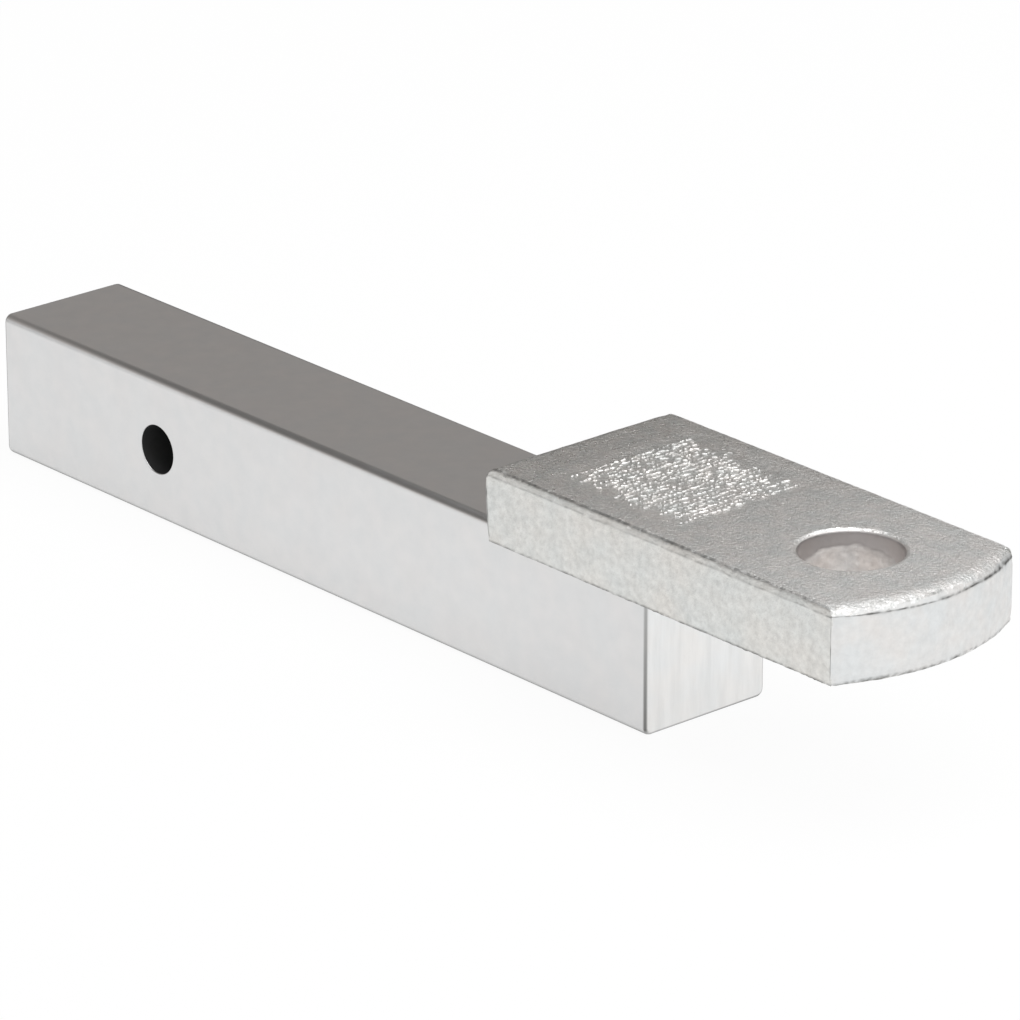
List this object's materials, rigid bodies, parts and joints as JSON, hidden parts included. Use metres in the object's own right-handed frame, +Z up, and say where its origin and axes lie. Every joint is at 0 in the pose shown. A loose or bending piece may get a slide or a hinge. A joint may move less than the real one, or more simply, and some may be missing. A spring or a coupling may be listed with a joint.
{
  "type": "trailer hitch ball mount",
  "caption": "Straight ball mount: a solid square receiver shank with a thick tongue plate welded on top, its rounded nose punched for a hitch ball.",
  "frame": {"origin": "centre of the hitch pin hole, on the shank's own axis", "axes": "+X along the shank towards the ball hole, +Y across along the pin hole, +Z up along the ball hole"},
  "size_m": [0.4325, 0.0762, 0.0762],
  "materials": {
    "shank_zinc": "smooth drawn bar, bright zinc plate, satin",
    "plate_zinc": "rough forged skin under zinc plate, mottled",
    "weld_zinc": "rippled weld metal under zinc plate"
  },
  "bodies": {
    "root": {"shank": "shank_zinc", "tongue_plate": "plate_zinc", "weld_left": "weld_zinc", "weld_right": "weld_zinc", "weld_front": "weld_zinc", "weld_rear": "weld_zinc"}
  },
  "joints": []
}
